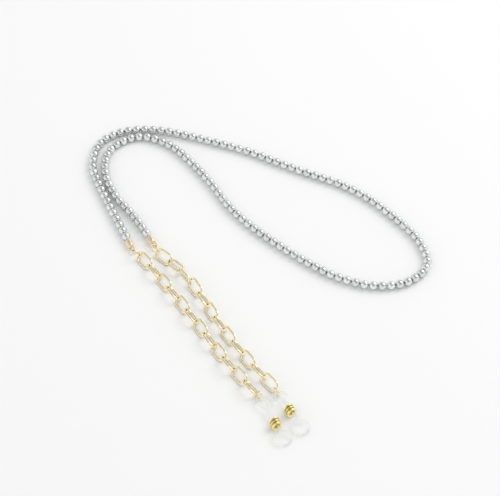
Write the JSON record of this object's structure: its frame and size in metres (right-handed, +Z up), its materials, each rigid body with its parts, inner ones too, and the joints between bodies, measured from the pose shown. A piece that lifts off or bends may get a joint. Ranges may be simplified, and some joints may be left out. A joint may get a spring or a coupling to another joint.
{
  "type": "eyeglass retainer strap",
  "caption": "Neck strap for glasses: a strand of round pearls with an oval link chain at each end, closed by clear silicone temple loops with a sliding wire coil.",
  "frame": {"origin": "centre of the bounding box in X and Y, at the lowest point of the strap, which is the surface it lies on", "axes": "+Z up from the surface; +Y from the temple loops towards the far turn of the pearl strand; +X to the right of that, the side of the strand's wide turn"},
  "size_m": [0.1612, 0.188, 0.0056],
  "materials": {
    "pearl": "silver-grey pearl lustre, glossy",
    "thread": "twisted nylon bead thread",
    "rose_gold": "plated rose gold, polished",
    "pale_gold": "plated pale gold, polished",
    "crimp": "plated, plain",
    "silicone": "clear soft silicone"
  },
  "bodies": {
    "strand_01": {"pearls_01": "pearl", "thread_01": "thread"},
    "strand_02": {"pearls_02": "pearl", "thread_02": "thread"},
    "strand_03": {"pearls_03": "pearl", "thread_03": "thread"},
    "strand_04": {"pearls_04": "pearl", "thread_04": "thread"},
    "strand_05": {"pearls_05": "pearl", "thread_05": "thread"},
    "strand_06": {"pearls_06": "pearl", "thread_06": "thread"},
    "strand_07": {"pearls_07": "pearl", "thread_07": "thread"},
    "strand_08": {"pearls_08": "pearl", "thread_08": "thread"},
    "strand_09": {"pearls_09": "pearl", "thread_09": "thread"},
    "strand_10": {"pearls_10": "pearl", "thread_10": "thread"},
    "strand_11": {"pearls_11": "pearl", "thread_11": "thread"},
    "left_tip": {"left_bead_tip": "rose_gold", "left_crimp": "crimp", "left_thread_end": "thread"},
    "left_tip_ring": {"left_tip_ring": "pale_gold"},
    "left_link_01": {"left_link_01": "pale_gold"},
    "left_link_02": {"left_link_02": "pale_gold"},
    "left_link_03": {"left_link_03": "pale_gold"},
    "left_link_04": {"left_link_04": "pale_gold"},
    "left_link_05": {"left_link_05": "pale_gold"},
    "left_link_06": {"left_link_06": "pale_gold"},
    "left_link_07": {"left_link_07": "pale_gold"},
    "left_link_08": {"left_link_08": "pale_gold"},
    "left_link_09": {"left_link_09": "pale_gold"},
    "left_link_10": {"left_link_10": "pale_gold"},
    "left_link_11": {"left_link_11": "pale_gold"},
    "left_link_12": {"left_link_12": "pale_gold"},
    "left_end_ring": {"left_end_ring": "pale_gold"},
    "left_loop": {"left_silicone_loop": "silicone"},
    "left_slider": {"left_slider_coil": "pale_gold"},
    "right_tip": {"right_bead_tip": "rose_gold", "right_crimp": "crimp", "right_thread_end": "thread"},
    "right_tip_ring": {"right_tip_ring": "pale_gold"},
    "right_link_01": {"right_link_01": "pale_gold"},
    "right_link_02": {"right_link_02": "pale_gold"},
    "right_link_03": {"right_link_03": "pale_gold"},
    "right_link_04": {"right_link_04": "pale_gold"},
    "right_link_05": {"right_link_05": "pale_gold"},
    "right_link_06": {"right_link_06": "pale_gold"},
    "right_link_07": {"right_link_07": "pale_gold"},
    "right_link_08": {"right_link_08": "pale_gold"},
    "right_link_09": {"right_link_09": "pale_gold"},
    "right_link_10": {"right_link_10": "pale_gold"},
    "right_link_11": {"right_link_11": "pale_gold"},
    "right_link_12": {"right_link_12": "pale_gold"},
    "right_end_ring": {"right_end_ring": "pale_gold"},
    "right_loop": {"right_silicone_loop": "silicone"},
    "right_slider": {"right_slider_coil": "pale_gold"}
  },
  "joints": [
    {"name": "strand_flex_05", "type": "hinge", "parent": "strand_06", "child": "strand_05", "pos_m": [0.07051, 0.02729, 0.002], "axis": [0.7833, 0.6217, 0], "range_deg": [-15, 15]},
    {"name": "strand_flex_04", "type": "hinge", "parent": "strand_05", "child": "strand_04", "pos_m": [0.03762, 0.05677, 0.002], "axis": [0.448, 0.894, 0], "range_deg": [-15, 15]},
    {"name": "strand_flex_03", "type": "hinge", "parent": "strand_04", "child": "strand_03", "pos_m": [-0.00601, 0.07813, 0.002], "axis": [-0.3822, -0.9241, 0], "range_deg": [-15, 15]},
    {"name": "strand_flex_02", "type": "hinge", "parent": "strand_03", "child": "strand_02", "pos_m": [-0.05241, 0.09193, 0.002], "axis": [-0.0366, -0.9993, 0], "range_deg": [-15, 15]},
    {"name": "strand_flex_01", "type": "hinge", "parent": "strand_02", "child": "strand_01", "pos_m": [-0.07809, 0.06491, 0.002], "axis": [-0.9814, -0.1922, 0], "range_deg": [-15, 15]},
    {"name": "strand_flex_07", "type": "hinge", "parent": "strand_06", "child": "strand_07", "pos_m": [0.05914, -0.00759, 0.002], "axis": [0.0712, -0.9975, 0], "range_deg": [-15, 15]},
    {"name": "strand_flex_08", "type": "hinge", "parent": "strand_07", "child": "strand_08", "pos_m": [0.01922, 0.00962, 0.002], "axis": [-0.6208, -0.784, 0], "range_deg": [-15, 15]},
    {"name": "strand_flex_09", "type": "hinge", "parent": "strand_08", "child": "strand_09", "pos_m": [-0.01455, 0.04424, 0.002], "axis": [0.8541, 0.5201, 0], "range_deg": [-15, 15]},
    {"name": "strand_flex_10", "type": "hinge", "parent": "strand_09", "child": "strand_10", "pos_m": [-0.04374, 0.08263, 0.002], "axis": [0.5376, 0.8432, 0], "range_deg": [-15, 15]},
    {"name": "strand_flex_11", "type": "hinge", "parent": "strand_10", "child": "strand_11", "pos_m": [-0.07234, 0.06482, 0.002], "axis": [0.9955, 0.095, 0], "range_deg": [-15, 15]},
    {"name": "left_tip_swing", "type": "hinge", "parent": "strand_01", "child": "left_tip", "pos_m": [-0.05933, 0.02013, 0.002], "axis": [-0.6509, -0.2763, 0.7071], "range_deg": [-15, 15]},
    {"name": "left_tip_ring_swing", "type": "hinge", "parent": "left_tip", "child": "left_tip_ring", "pos_m": [-0.056, 0.01281, 0.0022], "axis": [0.5719, 0.5873, 0.5727], "range_deg": [-45, 45]},
    {"name": "left_link_swing_01", "type": "hinge", "parent": "left_tip_ring", "child": "left_link_01", "pos_m": [-0.05314, 0.00983, 0.00221], "axis": [0.6366, 0.5155, -0.5736], "range_deg": [-60, 60]},
    {"name": "left_link_swing_02", "type": "hinge", "parent": "left_link_01", "child": "left_link_02", "pos_m": [-0.04813, 0.00354, 0.00215], "axis": [-0.6627, -0.4815, -0.5736], "range_deg": [-60, 60]},
    {"name": "left_link_swing_03", "type": "hinge", "parent": "left_link_02", "child": "left_link_03", "pos_m": [-0.04356, -0.00282, 0.00225], "axis": [-0.6791, -0.4581, 0.5736], "range_deg": [-60, 60]},
    {"name": "left_link_swing_04", "type": "hinge", "parent": "left_link_03", "child": "left_link_04", "pos_m": [-0.03918, -0.00932, 0.00221], "axis": [0.6791, 0.4581, 0.5736], "range_deg": [-60, 60]},
    {"name": "left_link_swing_05", "type": "hinge", "parent": "left_link_04", "child": "left_link_05", "pos_m": [-0.03481, -0.01583, 0.00223], "axis": [0.687, 0.4461, -0.5736], "range_deg": [-60, 60]},
    {"name": "left_link_swing_06", "type": "hinge", "parent": "left_link_05", "child": "left_link_06", "pos_m": [-0.03056, -0.02242, 0.00219], "axis": [-0.6947, -0.4341, -0.5736], "range_deg": [-60, 60]},
    {"name": "left_link_swing_07", "type": "hinge", "parent": "left_link_06", "child": "left_link_07", "pos_m": [-0.0264, -0.02907, 0.00221], "axis": [-0.6947, -0.4341, 0.5736], "range_deg": [-60, 60]},
    {"name": "left_link_swing_08", "type": "hinge", "parent": "left_link_07", "child": "left_link_08", "pos_m": [-0.02226, -0.03573, 0.00219], "axis": [0.7022, 0.4219, 0.5736], "range_deg": [-60, 60]},
    {"name": "left_link_swing_09", "type": "hinge", "parent": "left_link_08", "child": "left_link_09", "pos_m": [-0.01819, -0.04243, 0.00217], "axis": [0.687, 0.4461, -0.5736], "range_deg": [-60, 60]},
    {"name": "left_link_swing_10", "type": "hinge", "parent": "left_link_09", "child": "left_link_10", "pos_m": [-0.01389, -0.04898, 0.00225], "axis": [-0.671, -0.4698, -0.5736], "range_deg": [-60, 60]},
    {"name": "left_link_swing_11", "type": "hinge", "parent": "left_link_10", "child": "left_link_11", "pos_m": [-0.00936, -0.05538, 0.00217], "axis": [-0.6542, -0.493, 0.5736], "range_deg": [-60, 60]},
    {"name": "left_link_swing_12", "type": "hinge", "parent": "left_link_11", "child": "left_link_12", "pos_m": [-0.00464, -0.06164, 0.00221], "axis": [0.6542, 0.493, 0.5736], "range_deg": [-60, 60]},
    {"name": "left_end_ring_swing", "type": "hinge", "parent": "left_link_12", "child": "left_end_ring", "pos_m": [0.00019, -0.0678, 0.00207], "axis": [0.5834, 0.5753, -0.5732], "range_deg": [-45, 45]},
    {"name": "left_loop_swing", "type": "hinge", "parent": "left_end_ring", "child": "left_loop", "pos_m": [0.0016, -0.06896, 0.0018], "axis": [-0.9135, -0.4067, 0], "range_deg": [-35, 60]},
    {"name": "left_slider_slide", "type": "slide", "parent": "left_loop", "child": "left_slider", "axis": [0.4067, -0.9135, 0], "range_m": [-0.00291, 0.00009]},
    {"name": "right_tip_swing", "type": "hinge", "parent": "strand_11", "child": "right_tip", "pos_m": [-0.0498, 0.02233, 0.002], "axis": [-0.6184, -0.3428, 0.7071], "range_deg": [-15, 15]},
    {"name": "right_tip_ring_swing", "type": "hinge", "parent": "right_tip", "child": "right_tip_ring", "pos_m": [-0.04593, 0.01525, 0.00195], "axis": [0.8553, 0.1334, 0.5007], "range_deg": [-45, 40]},
    {"name": "right_link_swing_01", "type": "hinge", "parent": "right_tip_ring", "child": "right_link_01", "pos_m": [-0.04482, 0.01184, 0.00221], "axis": [0.5481, 0.6087, -0.5736], "range_deg": [-60, 60]},
    {"name": "right_link_swing_02", "type": "hinge", "parent": "right_link_01", "child": "right_link_02", "pos_m": [-0.03964, 0.0073, 0.00217], "axis": [-0.7258, -0.623, 0.2915], "range_deg": [-60, 60]},
    {"name": "right_link_swing_03", "type": "hinge", "parent": "right_link_02", "child": "right_link_03", "pos_m": [-0.0338, 0.0005, 0.00293], "axis": [-0.7857, -0.5502, 0.2828], "range_deg": [-60, 30]},
    {"name": "right_link_swing_04", "type": "hinge", "parent": "right_link_03", "child": "right_link_04", "pos_m": [-0.02987, -0.00491, 0.00287], "axis": [-0.6344, -0.3172, -0.705], "range_deg": [-60, 60]},
    {"name": "right_link_swing_05", "type": "hinge", "parent": "right_link_04", "child": "right_link_05", "pos_m": [-0.02523, -0.01258, 0.0022], "axis": [0.7233, 0.3846, 0.5736], "range_deg": [-60, 60]},
    {"name": "right_link_swing_06", "type": "hinge", "parent": "right_link_05", "child": "right_link_06", "pos_m": [-0.02156, -0.01952, 0.00223], "axis": [-0.7299, -0.3719, 0.5736], "range_deg": [-60, 60]},
    {"name": "right_link_swing_07", "type": "hinge", "parent": "right_link_06", "child": "right_link_07", "pos_m": [-0.01797, -0.02648, 0.00225], "axis": [-0.7164, -0.3971, -0.5736], "range_deg": [-60, 60]},
    {"name": "right_link_swing_08", "type": "hinge", "parent": "right_link_07", "child": "right_link_08", "pos_m": [-0.01412, -0.03331, 0.00215], "axis": [0.6947, 0.4341, -0.5736], "range_deg": [-60, 60]},
    {"name": "right_link_swing_09", "type": "hinge", "parent": "right_link_08", "child": "right_link_09", "pos_m": [-0.00994, -0.03995, 0.00223], "axis": [0.687, 0.4461, 0.5736], "range_deg": [-60, 60]},
    {"name": "right_link_swing_10", "type": "hinge", "parent": "right_link_09", "child": "right_link_10", "pos_m": [-0.00566, -0.04651, 0.00219], "axis": [-0.6791, -0.4581, 0.5736], "range_deg": [-60, 60]},
    {"name": "right_link_swing_11", "type": "hinge", "parent": "right_link_10", "child": "right_link_11", "pos_m": [-0.00121, -0.05296, 0.00229], "axis": [-0.6455, -0.5043, -0.5736], "range_deg": [-60, 60]},
    {"name": "right_link_swing_12", "type": "hinge", "parent": "right_link_11", "child": "right_link_12", "pos_m": [0.00364, -0.05913, 0.00219], "axis": [0.6366, 0.5155, -0.5736], "range_deg": [-60, 60]},
    {"name": "right_end_ring_swing", "type": "hinge", "parent": "right_link_12", "child": "right_end_ring", "pos_m": [0.00834, -0.06536, 0.00194], "axis": [0.7402, 0.3515, 0.5732], "range_deg": [-45, 45]},
    {"name": "right_loop_swing", "type": "hinge", "parent": "right_end_ring", "child": "right_loop", "pos_m": [0.00905, -0.067, 0.00192], "axis": [-0.8746, -0.4848, 0], "range_deg": [-60, 60]},
    {"name": "right_slider_slide", "type": "slide", "parent": "right_loop", "child": "right_slider", "axis": [0.4848, -0.8746, 0], "range_m": [-0.0024, 0.0006]}
  ]
}
